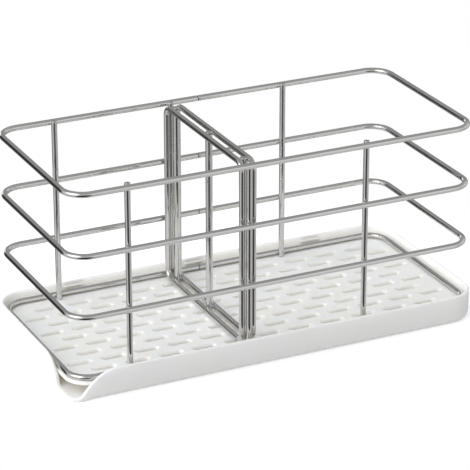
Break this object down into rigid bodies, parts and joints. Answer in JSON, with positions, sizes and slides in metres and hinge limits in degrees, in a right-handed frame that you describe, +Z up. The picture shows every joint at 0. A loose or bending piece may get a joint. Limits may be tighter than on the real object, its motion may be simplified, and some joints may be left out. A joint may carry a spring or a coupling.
{
  "type": "kitchen sink caddy",
  "caption": "Kitchen sink caddy: polished wire basket with a lift-out wire divider, on a slotted drain plate in a white drip tray with a corner pouring spout.",
  "frame": {"origin": "under the middle of the drip tray, on the surface that it stands on", "axes": "+X along the length to the right, +Y from the front to the back, +Z up; the pouring spout is in the front left corner"},
  "size_m": [0.244, 0.114, 0.1147],
  "materials": {
    "wire": "polished stainless steel wire",
    "plate": "white, smooth",
    "tray": "white, satin"
  },
  "bodies": {
    "tray": {"drip_tray": "tray"},
    "plate": {"drain_plate": "plate"},
    "basket": {"base_ring": "wire", "lower_ring": "wire", "upper_ring": "wire", "top_ring": "wire", "front_left_upright": "wire", "front_middle_upright": "wire", "front_right_upright": "wire", "back_left_upright": "wire", "back_middle_upright": "wire", "back_right_upright": "wire"},
    "divider": {"divider_left_frame": "wire", "divider_right_frame": "wire", "divider_front_strut": "wire", "divider_middle_strut": "wire", "divider_back_strut": "wire"}
  },
  "joints": [
    {"name": "plate_lift", "type": "slide", "parent": "tray", "child": "plate", "axis": [0, 0, 1], "range_m": [0, 0.03]},
    {"name": "basket_lift", "type": "slide", "parent": "plate", "child": "basket", "axis": [0, 0, 1], "range_m": [0, 0.03]},
    {"name": "divider_lift", "type": "slide", "parent": "basket", "child": "divider", "axis": [0, 0, 1], "range_m": [0, 0.12]}
  ]
}
